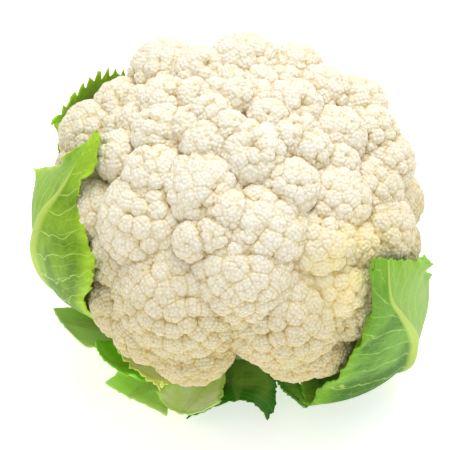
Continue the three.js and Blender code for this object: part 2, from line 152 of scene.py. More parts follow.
class Painter:
    """Lays out the nodes of one material on a Principled shader."""

    def __init__(self, name: str) -> None:
        """Starts a material.

        Args:
            name: the material's name.
        """
        self.material = bpy.data.materials.new(name)
        self.material.use_nodes = True
        self.tree = self.material.node_tree
        self.shader = self.tree.nodes["Principled BSDF"]

    def plug(self, socket: bpy.types.NodeSocket, value: object) -> None:
        """Links a wire to a socket, or sets a plain value on it.

        Args:
            socket: the input that is fed.
            value: a wire, a number, a vector, or a colour, as a screen colour or as a linear one.
        """
        if isinstance(value, Wire):
            self.tree.links.new(value.socket, socket)
            return
        if socket.type == "RGBA":
            value = (*(linear(value) if isinstance(value, int) else value), 1.0)
        socket.default_value = value

    def node(
        self,
        kind: str,
        settings: dict[str, object] | None = None,
        inputs: dict[str | int, object] | None = None,
        output: str | int = 0,
    ) -> Wire:
        """Adds a node.

        Args:
            kind: the node's type.
            settings: the node's own properties, set before its sockets.
            inputs: values or wires for its sockets.
            output: the output that is wanted.

        Returns:
            That output.
        """
        node = self.tree.nodes.new(kind)
        for key, value in (settings or {}).items():
            setattr(node, key, value)
        for key, value in (inputs or {}).items():
            self.plug(node.inputs[key], value)
        return Wire(self, node.outputs[output])

    def maths(self, operation: str, *values: "Wire | float") -> Wire:
        """A Math node on one to three values."""
        return self.node("ShaderNodeMath", {"operation": operation}, dict(enumerate(values)))

    def step(self, value: Wire, low: float, high: float) -> Wire:
        """Rises smoothly from 0 where value is low to 1 where it is high."""
        inputs = {"Value": value, "From Min": low, "From Max": high}
        return self.node("ShaderNodeMapRange", {"interpolation_type": "SMOOTHSTEP"}, inputs)

    def blend(self, share: "Wire | float", first: "Wire | int", second: "Wire | int") -> Wire:
        """The first of two colours where the share is 0, and the second where it is 1."""
        inputs = {0: share, 6: first, 7: second}
        return self.node("ShaderNodeMix", {"data_type": "RGBA"}, inputs, output=2)

    def places(self) -> Wire:
        """The Object coordinates of the piece, in metres."""
        return self.node("ShaderNodeTexCoord", output="Object")

    def split(self, vector: Wire) -> list[Wire]:
        """The X, Y and Z of a vector."""
        first = self.node("ShaderNodeSeparateXYZ", None, {0: vector})
        return [Wire(self, output) for output in first.socket.node.outputs]

    def noise(self, at: Wire, size: float, detail: float = 2.0, offset: Place = (0, 0, 0)) -> Wire:
        """Noise from 0 to 1 in patches of a size, in metres, with finer layers and moved by an offset."""
        moved = self.node("ShaderNodeVectorMath", {"operation": "ADD"}, {0: at, 1: offset})
        return self.node("ShaderNodeTexNoise", None, {"Vector": moved, "Scale": 1 / size, "Detail": detail})

    def fibres(self, at: Wire, size: float, squeeze: float) -> Wire:
        """Noise that is drawn out upwards, because its heights are squeezed."""
        tall = self.node("ShaderNodeMapping", None, {"Vector": at, "Scale": (1.0, 1.0, squeeze)})
        return self.noise(tall, size, 3.0)

    def bump(self, height: Wire, depth: float, base: Wire | None = None) -> Wire:
        """A normal raised by a height.

        Args:
            height: from 0 to 1.
            depth: how far 1 stands out, in metres.
            base: a normal that this is laid on.

        Returns:
            The normal.
        """
        inputs = {"Height": height, "Distance": depth, "Strength": 1.0}
        if base is not None:
            inputs["Normal"] = base
        return self.node("ShaderNodeBump", None, inputs)

    def finish(self, **sockets: object) -> bpy.types.Material:
        """Feeds the shader and hands the material over.

        Args:
            sockets: the shader's inputs, with _ for a space.

        Returns:
            The finished material.
        """
        for key, value in sockets.items():
            self.plug(self.shader.inputs[key.replace("_", " ")], value)
        return self.material


# ---- mesh work ----------------------------------------------------------------------------------


class Chosen(Enum):
    """What is selected in a mesh as it's opened."""

    ALL = "SELECT"
    NONE = "DESELECT"
    AS_BEFORE = ""


def deselect() -> None:
    """Leaves nothing selected."""
    bpy.ops.object.select_all(action="DESELECT")


def pick(*pieces: bpy.types.Object) -> None:
    """Selects pieces alone, the first of them active.

    Args:
        pieces: what is selected.
    """
    deselect()
    for piece in pieces:
        piece.select_set(True)
    bpy.context.view_layer.objects.active = pieces[0]


@contextmanager
def editing(piece: bpy.types.Object, chosen: Chosen = Chosen.ALL) -> Iterator[None]:
    """Opens the mesh of a piece for the mesh operators, and closes it again.

    Args:
        piece: whose mesh it is.
        chosen: what is selected in it.
    """
    pick(piece)
    bpy.ops.object.mode_set(mode="EDIT")
    if chosen.value:
        bpy.ops.mesh.select_all(action=chosen.value)
    yield
    bpy.ops.object.mode_set(mode="OBJECT")


def read_points(piece: bpy.types.Object) -> np.ndarray:
    """Reads the vertices of a piece.

    Args:
        piece: whose mesh it is.

    Returns:
        A point to each vertex, in metres.
    """
    points = np.empty(len(piece.data.vertices) * 3)
    piece.data.vertices.foreach_get("co", points)
    return points.reshape(-1, 3)


def write_points(piece: bpy.types.Object, points: np.ndarray) -> None:
    """Moves the vertices of a piece to points given in metres."""
    piece.data.vertices.foreach_set("co", points.ravel())
    piece.data.update()


def write_numbers(piece: bpy.types.Object, name: str, values: np.ndarray) -> None:
    """Keeps a number at each vertex of a piece, for its material."""
    layer = piece.data.attributes.new(name, "FLOAT", "POINT")
    layer.data.foreach_set("value", values)


def triangles_of(piece: bpy.types.Object) -> np.ndarray:
    """Reads the faces of a piece that has triangles only.

    Args:
        piece: whose mesh it is.

    Returns:
        The numbers of each triangle's three vertices.
    """
    corners = np.empty(len(piece.data.polygons) * 3, int)
    piece.data.polygons.foreach_get("vertices", corners)
    return corners.reshape(-1, 3)


def apply_modifiers(piece: bpy.types.Object) -> None:
    """Applies every modifier of a piece, in order.

    Args:
        piece: which has the modifiers.
    """
    pick(piece)
    for modifier in list(piece.modifiers):
        bpy.ops.object.modifier_apply(modifier=modifier.name)


def face_outwards(piece: bpy.types.Object) -> None:
    """Turns every face of a closed piece outwards."""
    with editing(piece):
        bpy.ops.mesh.normals_make_consistent(inside=False)


def add_ball(radius: float, cuts: int) -> tuple[bpy.types.Object, np.ndarray]:
    """Adds a ball of triangles round the middle of the world.

    Args:
        radius: of the ball.
        cuts: how many times each edge of an icosahedron is cut.

    Returns:
        The ball, and the unit vector towards each of its vertices.
    """
    deselect()
    bpy.ops.mesh.primitive_ico_sphere_add(subdivisions=1, radius=radius * MM)
    piece = bpy.context.object
    with editing(piece):
        bpy.ops.mesh.subdivide(number_cuts=cuts)
    return piece, unit(read_points(piece))


def hand_over(piece: bpy.types.Object, name: str, material: bpy.types.Material, node: str) -> None:
    """Names a finished piece, dresses it and puts it in the frame.

    Args:
        piece: the finished piece.
        name: its name.
        material: its finish.
        node: the node of the frame that it stands for.
    """
    piece.name = name
    piece.data.name = name
    piece.data.materials.clear()
    piece.data.materials.append(material)
    pick(piece)
    bpy.ops.object.shade_smooth()
    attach(piece, BODY)
    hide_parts(node)
    log.info("%s: %d faces", name, len(piece.data.polygons))


# ---- curd ---------------------------------------------------------------------------------------

TOP_LEAN = 40.0  # florets that lean less than this are in the top region


@dataclass(frozen=True)
class Crease:
    """How the lines between the cells of one layer are coloured, with a golden tint and painted shade.

    The width is in cell sizes. The lines turn to straw by one share everywhere and by another in patches, and
    the feet of the cells turn to amber.
    """

    width: float
    everywhere: float
    patches: float
    foot: float


@dataclass(frozen=True)
class CurdFinish:
    """The soft matt ivory of the curd, with painted shade: cream low down, and golden shade in its creases.
    """

    ivory: int = 0xFCF7EA
    cream_and_shade: int = 0xD2C89C
    amber_and_shade: int = 0xEBD896
    straw_and_shade: int = 0xC8A858
    moss_and_shade: int = 0x8A6F30
    butter_and_light: int = 0xFFECA6
    lobe: Crease = Crease(width=0.1, everywhere=0.45, patches=0.4, foot=0.45)
    bud: Crease = Crease(width=0.15, everywhere=0.25, patches=0.25, foot=0.25)
    bead: Crease = Crease(width=0.4, everywhere=0.35, patches=0.0, foot=0.0)
    foot_start: float = 0.25
    foot_end: float = 0.65
    shaded_height: float = 0.05
    sunlit_height: float = 0.15
    sunlit_depth: float = 0.36
    pit: tuple[float, float] = (0.54, 0.66)
    pit_moss: float = 0.7
    seam_straw: tuple[float, float] = (0.4, 1.0)
    seam_moss: tuple[float, float] = (0.85, 1.0)
    mottle_share: float = 0.16
    mottle_size: float = 0.011
    patch_size: float = 0.0045
    yellowed_and_lit: Place = (0.048, -0.056, 0.106)
    yellowed_and_lit_reach: float = 0.038
    yellowed_and_lit_patch: float = 0.012
    yellowed_and_lit_share: float = 0.85
    bead_depth: float = 0.00022
    granule: float = 0.0009
    granule_depth: float = 0.0001

    def kept(self, p: Painter, name: str, output: str = "Vector") -> Wire:
        """Numbers kept in the mesh."""
        return p.node("ShaderNodeAttribute", {"attribute_name": name}, output=output)

    def cells(self, p: Painter, name: str) -> tuple[Wire, Wire]:
        """Where a point lies in one layer of cells.

        Args:
            p: lays out the material.
            name: the layer's name.

        Returns:
            How far off the nearest seat is, in cell sizes, and 1 in a crease or 0 beside it.
        """
        offsets = [self.kept(p, f"{name}_{rank}") for rank in range(2)]
        away = [p.node("ShaderNodeVectorMath", {"operation": "LENGTH"}, {0: o}, "Value") for o in offsets]
        crease = 1 - p.step(abs(away[0] - away[1]), 0.0, getattr(self, name).width)
        return p.maths("MINIMUM", *away), crease

    def material(self) -> bpy.types.Material:
        """Makes the finish.

        Returns:
            The material, which reads the cells kept in the mesh.
        """
        p = Painter("curd")
        seam = self.kept(p, "seam", "Fac")
        at = p.places()
        # painted shade: low rises to 1 towards the bottom of the head, where the curd turns cream and its
        # creases are painted stronger
        low = 1 - p.step(p.split(at)[2], self.shaded_height, self.sunlit_height)
        depth = self.sunlit_depth + (1 - self.sunlit_depth) * low
        broken = p.step(p.noise(at, self.patch_size), 0.35, 0.65)
        (lobe, lobe_line), (bud, bud_line), (bead, bead_line) = (self.cells(p, name) for name in LAYER_NAMES)

        mottle = p.step(p.noise(at, self.mottle_size), 0.3, 0.75)
        # the cream is a little random mottle and mostly painted shade towards the bottom
        tone = mottle * self.mottle_share + low * (1 - self.mottle_share)
        colour = p.blend(tone, self.ivory, self.cream_and_shade)
        # golden tint and painted shade: the feet of the lobes and buds turn to amber, more so low down
        feet = p.step(lobe, self.foot_start, self.foot_end) * self.lobe.foot
        feet += p.step(bud, self.foot_start, self.foot_end) * self.bud.foot
        colour = p.blend(feet * (0.4 + 0.6 * depth), colour, self.amber_and_shade)
        # golden tint and painted shade: the lines between beads, buds and lobes turn to straw, more so low
        # down
        for line, crease in ((bead_line, self.bead), (bud_line, self.bud), (lobe_line, self.lobe)):
            share = line * depth * (crease.everywhere + crease.patches * broken)
            colour = p.blend(share, colour, self.straw_and_shade)
        # painted shade: the deepest pits between lobes turn to moss
        pit = lobe_line * p.step(lobe, *self.pit) * broken
        colour = p.blend(pit * self.pit_moss, colour, self.moss_and_shade)
        # golden tint and painted shade: straw, then moss, where the florets meet
        colour = p.blend(p.step(seam, *self.seam_straw) * (0.3 + 0.4 * broken), colour, self.straw_and_shade)
        colour = p.blend(p.step(seam, *self.seam_moss) * broken * 0.5, colour, self.moss_and_shade)

        # yellow tint and painted light: a patch of the curd turns butter yellow, painted lighter to stand in
        # for light
        far = p.node("ShaderNodeVectorMath", {"operation": "DISTANCE"}, {0: at, 1: self.yellowed_and_lit}, "Value")
        patchy = p.step(p.noise(at, self.yellowed_and_lit_patch, offset=(0.3, 0, 0)), 0.2, 0.7)
        yellowed_and_lit_spot = (1 - p.step(far, 0.0, self.yellowed_and_lit_reach)) * patchy
        colour = p.blend(yellowed_and_lit_spot * self.yellowed_and_lit_share, colour, self.butter_and_light)

        normal = p.bump(p.noise(at, self.granule, 3.0), self.granule_depth)
        normal = p.bump(1 - bead * bead * 3, self.bead_depth, normal)
        return p.finish(
            Base_Color=colour,
            Roughness=0.75,
            Specular_IOR_Level=0.2,
            Subsurface_Weight=0.15,
            Subsurface_Radius=(0.002, 0.0016, 0.001),
            Subsurface_Scale=1.0,
            Normal=normal,
        )


class Region(Enum):
    """The parts of the head that its florets are gathered in."""

    TOP = "top"
    FRONT = "front"
    LEFT = "left"
    RIGHT = "right"
    BACK = "back"


@dataclass
class Layer:
    """Domed cells that cover a coarser surface round the middle of a floret.

    A cell's dome stands proud of the surface at its seat and drops with a power of the distance from it,
    which is measured in the cell's own size. The search for the nearest cells goes patch by patch, and takes
    in the cells that lie within some slack of a patch, also in cell sizes.
    """

    below: "Layer | None"
    seats: np.ndarray
    sizes: np.ndarray
    proud: float
    drop: float = 0.0
    power: float = 2.0
    farthest: float = 0.85
    patches: int = 60
    slack: float = 2.2

    def reach(self, rays: np.ndarray) -> np.ndarray:
        """How far rays from the middle go before they leave the surface.

        Args:
            rays: unit vectors.

        Returns:
            The distance along each ray.
        """
        if self.below is None:
            return np.full(len(rays), self.proud)
        level = self.below.reach(rays)
        away = self.nearest(rays * level[:, None], 1)[1][:, 0]
        return level + self.proud - self.drop * np.minimum(away, self.farthest) ** self.power

    def nearest(self, points: np.ndarray, count: int) -> tuple[np.ndarray, np.ndarray]:
        """The cells whose seats are nearest to points, for their sizes.

        Args:
            points: places on the coarser surface.
            count: how many cells are wanted, nearest first.

        Returns:
            The cells of each point, and how far off their seats are, in their sizes.
        """
        owners, aways = np.zeros((len(points), count), int), np.ones((len(points), count))
        rays = unit(points)
        reaches = np.linalg.norm(self.seats, axis=1)
        towards = self.seats / reaches[:, None]
        middles = golden_sphere(self.patches)
        patch = (rays @ middles.T).argmax(1)
        slack = self.slack * self.sizes.max() / reaches.min()
        for index, middle in enumerate(middles):
            some = np.flatnonzero(patch == index)
            if not len(some):
                continue
            span = math.acos(min(1.0, (rays[some] @ middle).min())) + slack
            chosen = np.flatnonzero(towards @ middle > math.cos(min(span, math.pi)))
            if len(chosen) <= count:
                chosen = np.arange(len(self.seats))
            away = np.linalg.norm(points[some, None] - self.seats[chosen], axis=2) / self.sizes[chosen]
            order = np.argpartition(away, count - 1, axis=1)[:, :count]
            close = np.take_along_axis(away, order, axis=1)
            rank = close.argsort(axis=1)
            owners[some] = chosen[np.take_along_axis(order, rank, axis=1)]
            aways[some] = np.take_along_axis(close, rank, axis=1)
        return owners, aways


@dataclass(frozen=True)
class Grade:
    """One grade of the cells on a floret, in the distances between its cells."""

    proud: float
    drop: float
    power: float
    variety: float
    jitter: float


@dataclass
class Floret:
    """One floret: a dome of lobes, each a cluster of buds, each with its beads."""

    turn: float
    lean: float
    radius: float
    proud: float
    head_radius: float
    head_rise: float
    head_middle: float
    lobe_most: float = 9.0
    lobe_share: float = 0.2
    lobe_least: float = 4.6
    bud_share: float = 0.5
    bead: float = 1.9
    lobe_grade: Grade = Grade(proud=0.2, drop=0.95, power=3.0, variety=0.28, jitter=0.26)
    bud_grade: Grade = Grade(proud=0.06, drop=0.5, power=2.5, variety=0.24, jitter=0.26)
    bead_grade: Grade = Grade(proud=0.06, drop=0.58, power=2.0, variety=0.16, jitter=0.18)
    packing: float = 0.866 / 1.15  # the surface that a cell takes up, in spacings squared, some cells spare
    pushes: int = 3
    push_reach: float = 1.15
    push_share: float = 0.25
    buried: float = 1.6
    seam_inside: float = 0.5
    seam_outside: float = 5.0
    core: Place = (62.0, 62.0, 54.0)
    others: "list[Floret]" = field(default_factory=list)
    ray: np.ndarray = field(init=False)
    axis: np.ndarray = field(init=False)
    top: np.ndarray = field(init=False)
    centre: np.ndarray = field(init=False)

    def __post_init__(self) -> None:
        """Works out where the floret stands: its top touches the head's ellipsoid."""
        self.ray = direction(self.turn, self.lean)
        size = np.array([self.head_radius, self.head_radius, self.head_rise])
        reach = 1 / np.linalg.norm(self.ray / size) + self.proud
        top = self.ray * reach
        self.axis = top / size**2
        self.axis /= np.linalg.norm(self.axis)
        self.top = top + (0, 0, self.head_middle)
        self.centre = self.top - self.axis * self.radius

    def region(self) -> Region:
        """Finds the part of the head that the floret is in.

        Returns:
            The region.
        """
        if self.lean < TOP_LEAN:
            return Region.TOP
        quarter = int(((self.turn + 45) % 360) // 90)
        return (Region.RIGHT, Region.BACK, Region.LEFT, Region.FRONT)[quarter]

    def cover(self, rays: np.ndarray) -> np.ndarray:
        """How far rays from the middle of the head go before they leave the floret.

        Args:
            rays: unit vectors.

        Returns:
            The distance along each ray, or 0 where it misses the floret.
        """
        centre = self.centre - (0, 0, self.head_middle)
        nearest = rays @ centre
        inside = nearest**2 - centre @ centre + self.radius**2
        return np.where(inside > 0, nearest + np.sqrt(np.maximum(inside, 0)), 0)

    def lobe(self) -> float:
        """The distance between the middles of neighbouring lobes."""
        return min(self.lobe_most, self.lobe_least + self.lobe_share * self.radius)

    def spread(self, spacing: float, jitter: float, rng: np.random.Generator) -> np.ndarray:
        """Directions all round the floret, about evenly apart.

        Args:
            spacing: the distance between neighbours on the dome.
            jitter: how far they stray, in spacings.
            rng: draws how far each strays from its place.

        Returns:
            Unit vectors from the floret's middle.
        """
        count = max(8, round(4 * math.pi * self.radius**2 / (self.packing * spacing**2)))
        points = golden_sphere(count, self.turn)
        points += rng.normal(0, jitter * spacing / self.radius, points.shape)
        side = np.cross(self.axis, (0.0, 0.0, 1.0)) + (1e-6, 0, 0)
        side /= np.linalg.norm(side)
        return unit(points) @ np.stack([side, np.cross(self.axis, side), self.axis])

    def settle(self, rays: np.ndarray, below: Layer, spacing: float) -> np.ndarray:
        """Pushes close neighbours apart until they cover a lumpy surface evenly.

        Args:
            rays: unit vectors.
            below: the surface.
            spacing: the distance that neighbours keep.

        Returns:
            The moved rays.
        """
        for _ in range(self.pushes):
            points = rays * below.reach(rays)[:, None]
            squares = (points**2).sum(1)
            apart = np.sqrt(np.maximum(squares[:, None] + squares - 2 * points @ points.T, 1e-4))
            push = np.maximum(0, self.push_reach * spacing / apart - 1)
            np.fill_diagonal(push, 0)
            rays = unit(points + self.push_share * (points * push.sum(1)[:, None] - push @ points))
        return rays

    def layer(self, spacing: float, below: Layer, grade: Grade, rng: np.random.Generator) -> Layer:
        """Cells that cover the surface of a coarser layer.

        Args:
            spacing: the distance between neighbours.
            below: the coarser layer.
            grade: the shape of its cells.
            rng: draws sizes and places.

        Returns:
            The layer.
        """
        rays = self.spread(spacing, grade.jitter, rng)
        depth = self.depth(self.centre + rays * self.radius)
        rays = self.settle(rays[depth < self.buried + 2 * spacing], below, spacing)
        sizes = spacing * rng.uniform(1 - grade.variety, 1 + grade.variety, len(rays))
        seats = rays * below.reach(rays)[:, None]
        return Layer(below, seats, sizes, grade.proud * spacing, grade.drop * spacing, grade.power)

    def layers(self, rng: np.random.Generator) -> tuple[Layer, Layer, Layer]:
        """The floret's lobes, buds and beads.

        Args:
            rng: draws sizes and places.

        Returns:
            The three layers, the coarsest first.
        """
        lobe = self.lobe()
        dome = Layer(None, np.zeros((0, 3)), np.zeros(0), self.radius)
        lobes = self.layer(lobe, dome, self.lobe_grade, rng)
        buds = self.layer(lobe * self.bud_share, lobes, self.bud_grade, rng)
        beads = self.layer(self.bead, buds, self.bead_grade, rng)
        return lobes, buds, beads

    def depth(self, points: np.ndarray) -> np.ndarray:
        """How deep points lie in the core or in the other florets.

        Args:
            points: places on this floret, from the middle of the world.

        Returns:
            The depth of each, under 0 where it is outside them all.
        """
        deepest = (1 - np.linalg.norm((points - (0, 0, self.head_middle)) / self.core, axis=1)) * self.core[0]
        for other in self.others:
            deepest = np.maximum(deepest, other.radius - np.linalg.norm(points - other.centre, axis=1))
        return deepest

    def build(self, grain: float, seed: int) -> bpy.types.Object | None:
        """Models the floret, open to the air where no other floret hides it and closed inside the head.

        Args:
            grain: the area of a triangle.
            seed: of the draws.

        Returns:
            The floret, or None if it is hidden all over.
        """
        triangles = 4 * math.pi * self.radius**2 / grain
        edge_parts = max(4, round(math.sqrt(triangles / ICOSAHEDRON_FACES)))
        piece, rays = add_ball(self.radius, edge_parts - 1)
        hidden = self.depth(self.centre + rays * self.radius) > self.buried
        covered = hidden[triangles_of(piece)].all(1)
        if covered.all():
            bpy.data.objects.remove(piece)
            return None
        write_points(piece, rays)
        bpy.context.tool_settings.mesh_select_mode = SELECT_FACES
        piece.data.polygons.foreach_set("select", covered)
        with editing(piece, Chosen.AS_BEFORE):
            bpy.ops.mesh.delete(type="FACE")
        self.raise_relief(piece, np.random.default_rng(seed))
        self.close(piece)
        return piece

    def raise_relief(self, piece: bpy.types.Object, rng: np.random.Generator) -> None:
        """Raises the lobes, buds and beads, and keeps where each corner of each face lies among them.

        Args:
            piece: the dome, with unit vectors for its vertices.
            rng: draws sizes and places.
        """
        rays = read_points(piece)
        layers = self.layers(rng)
        for name, layer in zip(LAYER_NAMES, layers):
            self.keep_cells(piece, name, rays * layer.below.reach(rays)[:, None], layer)
        points = self.centre + rays * layers[-1].reach(rays)[:, None]
        write_points(piece, points * MM)
        # how close each vertex lies to the other florets, where the curd's material paints shade
        clear = smooth_step(-self.depth(points), -self.seam_inside, self.seam_outside)
        write_numbers(piece, "seam", 1 - clear)

    def keep_cells(self, piece: bpy.types.Object, name: str, points: np.ndarray, layer: Layer) -> None:
        """Keeps how far each corner of each face lies from the two cells nearest to the face, in their sizes.

        Args:
            piece: the floret.
            name: the layer's name.
            points: the floret's vertices on the surface that the cells sit on.
            layer: the cells.
        """
        corners = triangles_of(piece)
        owners, _ = layer.nearest(points[corners].mean(1), 2)
        for rank in range(2):
            owner = owners[:, rank]
            offset = (points[corners] - layer.seats[owner][:, None]) / layer.sizes[owner][:, None, None]
            kept = piece.data.attributes.new(f"{name}_{rank}", "FLOAT_VECTOR", "CORNER")
            kept.data.foreach_set("vector", offset.ravel())

    def close(self, piece: bpy.types.Object) -> None:
        """Draws the open edges of a floret together inside it.

        Args:
            piece: the open floret.
        """
        with editing(piece, Chosen.NONE):
            bpy.ops.mesh.select_mode(type="EDGE")
            bpy.ops.mesh.select_non_manifold()
            bpy.ops.mesh.extrude_edges_move()
            bpy.ops.mesh.merge(type="CENTER")
        face_outwards(piece)


@dataclass
class Head:
    """The curd: florets on a branching core."""

    radius: float = 79.0
    rise: float = 71.0
    middle: float = 78.0
    spiral_florets: int = 84
    spiral_lowest: float = 114.0
    spiral_smallest: float = 10.0
    spiral_largest: float = 17.0
    spacing: float = 0.72
    fill_rays: int = 1500
    fill_lowest: float = 96.0
    fill_share: float = 0.84
    fill_radius: float = 10.0
    fill_proud: float = -2.5
    closest: float = 8.0
    grain: float = 0.137
    quick_grain: float = 0.5
    # Turn, lean, radius, and how far the top stands out of the head's ellipsoid.
    florets: tuple[tuple[float, float, float, float], ...] = (
        (243, 84, 31, 3), (288, 87, 28, 2), (271, 64, 25, 1), (281, 48, 21, 0), (219, 57, 22, 1),
        (210, 41, 14, 0), (249, 53, 8, 0), (242, 34, 17, 0), (285, 18, 15, 1), (303, 35, 12, 0),
        (307, 60, 17, 0), (306, 76, 17, 1), (323, 49, 16, 0), (346, 60, 15, 0), (335, 72, 16, 3),
        (0, 38, 13, 1), (8, 52, 13, 5), (21, 21, 13, 1), (35, 39, 13, 3), (182, 11, 9, 0),
        (225, 19, 10, 0), (183, 32, 13, 0), (160, 69, 15, 10), (147, 62, 15, 5), (89, 35, 16, 6),
        (127, 52, 16, 9), (118, 34, 13, 3), (154, 34, 12, 1), (100, 8, 8, 0), (343, 10, 8, 0),
        (241, 10, 8, 0), (332, 29, 9, 0), (325, 20, 7, 0), (27, 52, 14, 6), (359, 60, 13, 5),
        (303, 113, 15, 3), (216, 77, 14, -2), (258, 49, 8, 0), (263, 41, 9, 0), (318, 66, 11, 0),
        (184, 51, 11, 0), (170, 76, 14, 5), (222, 98, 17, 2), (60, 42, 13, 4), (250, 105, 18, 4),
        (291, 106, 17, 2), (234, 99, 20, 4), (196, 72, 14, 2), (312, 93, 14, 1),
    )  # fmt: skip

    def floret(self, turn: float, lean: float, radius: float, proud: float) -> Floret:
        """A floret on this head."""
        return Floret(turn, lean, radius, proud, self.radius, self.rise, self.middle)

    def fill(self, placed: list[Floret]) -> None:
        """Puts small florets where the core would show between the others.

        Args:
            placed: the florets so far, which the new ones join.
        """
        rays = golden_sphere(self.fill_rays)
        rays = rays[rays[:, 2] > math.cos(math.radians(self.fill_lowest))]
        size = np.array([self.radius, self.radius, self.rise])
        needed = self.fill_share / np.linalg.norm(rays / size, axis=1)
        reach = np.max([floret.cover(rays) for floret in placed], axis=0)
        while (reach < needed).any():
            x, y, z = rays[(needed - reach).argmax()]
            turn, lean = math.degrees(math.atan2(y, x)) % 360, math.degrees(math.acos(z))
            placed.append(self.floret(turn, lean, self.fill_radius, self.fill_proud))
            reach = np.maximum(reach, placed[-1].cover(rays))

    def lay_out(self) -> list[Floret]:
        """Places the florets: those given, a golden-angle spiral where none stands yet, and a fill.

        Returns:
            The florets.
        """
        placed = [self.floret(*sizes) for sizes in self.florets]
        lowest = 1 - math.cos(math.radians(self.spiral_lowest))
        for k in range(self.spiral_florets):
            share = (k + 0.5) / self.spiral_florets
            lean = math.degrees(math.acos(1 - share * lowest))
            radius = self.spiral_smallest + (self.spiral_largest - self.spiral_smallest) * share
            new = self.floret(math.degrees(k * GOLDEN_TURN) % 360, lean, radius, 0)
            if all(np.linalg.norm(f.top - new.top) > self.spacing * (f.radius + radius) for f in placed):
                placed.append(new)
        self.fill(placed)
        return placed

    def build(self) -> None:
        """Models the florets and gathers them in the regions of the head."""
        florets = self.lay_out()
        grain = self.grain
        material = CurdFinish().material()
        regions: dict[Region, list[bpy.types.Object]] = {region: [] for region in Region}
        for index, floret in enumerate(florets):
            reach = floret.radius + self.closest
            floret.others = [
                other
                for other in florets
                if other is not floret
                and np.linalg.norm(other.centre - floret.centre) < reach + other.radius
            ]
            piece = floret.build(grain, index)
            if piece is not None:
                regions[floret.region()].append(piece)
        for region, pieces in regions.items():
            pick(*pieces)
            bpy.ops.object.join()
            hand_over(pieces[0], f"curd_{region.value}", material, "curd")


@dataclass(frozen=True)
class StalkFinish:
    """The smooth pale green of the trunk and the branches under the curd."""

    pale: int = 0xE9EACB
    green: int = 0xC9D69C
    shade: int = 0xA9B877
    fibre: float = 0.0022
    squeeze: float = 0.18
    tone: float = 0.018
    depth: float = 0.0002

    def material(self) -> bpy.types.Material:
        """Makes the finish.

        Returns:
            The material, faintly streaked along the branches.
        """
        p = Painter("stalk")
        at = p.places()
        fibre = p.fibres(at, self.fibre, self.squeeze)
        colour = p.blend(p.step(p.noise(at, self.tone), 0.3, 0.75), self.pale, self.green)
        colour = p.blend(p.step(fibre, 0.55, 0.8) * 0.35, colour, self.shade)
        normal = p.bump(fibre, self.depth)
        return p.finish(Base_Color=colour, Roughness=0.5, Specular_IOR_Level=0.4, Normal=normal)


@dataclass
class Trunk:
    """The core of the head, with the trunk and branches that carry the florets."""

    core_radius: float = 64.0
    core_rise: float = 56.0
    core_drop: float = 38.0
    middle: float = 78.0
    shoulder_radius: float = 50.0
    shoulder_height: float = 46.0
    neck_radius: float = 25.0
    neck_height: float = 24.3
    branches: int = 11
    branch_depth: float = 3.0
    branch_leans: tuple[float, float] = (95.0, 118.0)
    fork_leans: tuple[float, float] = (100.0, 128.0)
    neck_leans: tuple[float, float] = (148.0, 153.0)
    branch_sway: float = 0.5
    roundness: float = 0.7
    shoulder_fade: float = 1.3
    cuts: int = 34

    def reach(self, rays: np.ndarray) -> np.ndarray:
        """How far the core and the trunk reach from the middle of the head.

        Args:
            rays: unit vectors.

        Returns:
            The distance along each ray.
        """
        level = np.where(rays[:, 2] > 0, self.core_rise, self.core_drop)
        out = np.hypot(rays[:, 0], rays[:, 1])
        core = 1 / np.sqrt((out / self.core_radius) ** 2 + (rays[:, 2] / level) ** 2)
        down = np.maximum(-rays[:, 2], 1e-6)
        flare = (self.shoulder_radius - self.neck_radius) / (self.shoulder_height - self.neck_height)
        at_middle = self.neck_radius + flare * (self.middle - self.neck_height)
        cone = at_middle / (out + flare * down)
        trunk = np.minimum(cone, (self.middle - self.neck_height) / down)
        shoulder = self.shoulder_radius / (self.middle - self.shoulder_height)
        beyond = smooth_step(out / down, shoulder, shoulder * self.shoulder_fade)
        return core + np.maximum(trunk - core, 0) * (1 - beyond) * (rays[:, 2] < 0)

    def build(self) -> None:
        """Models the core and the trunk as one closed body, grooved between its branches and their forks."""
        piece, rays = add_ball(1.0, self.cuts)
        turn = np.arctan2(rays[:, 1], rays[:, 0])
        lean = np.degrees(np.arccos(rays[:, 2]))
        sway = self.branch_sway * np.sin(3 * turn)
        branch = np.abs(np.cos(turn * self.branches / 2 + sway)) ** self.roundness
        fork = np.abs(np.cos(turn * self.branches + 1.0)) ** self.roundness
        share = smooth_step(lean, *self.branch_leans) * (1 - smooth_step(lean, *self.neck_leans))
        outer = 1 - smooth_step(lean, *self.fork_leans)
        groove = self.branch_depth * share * (1 - branch * (1 - outer) - fork * outer)
        write_points(piece, (rays * (self.reach(rays) - groove)[:, None] + (0, 0, self.middle)) * MM)
        hand_over(piece, "curd_trunk", StalkFinish().material(), "curd")


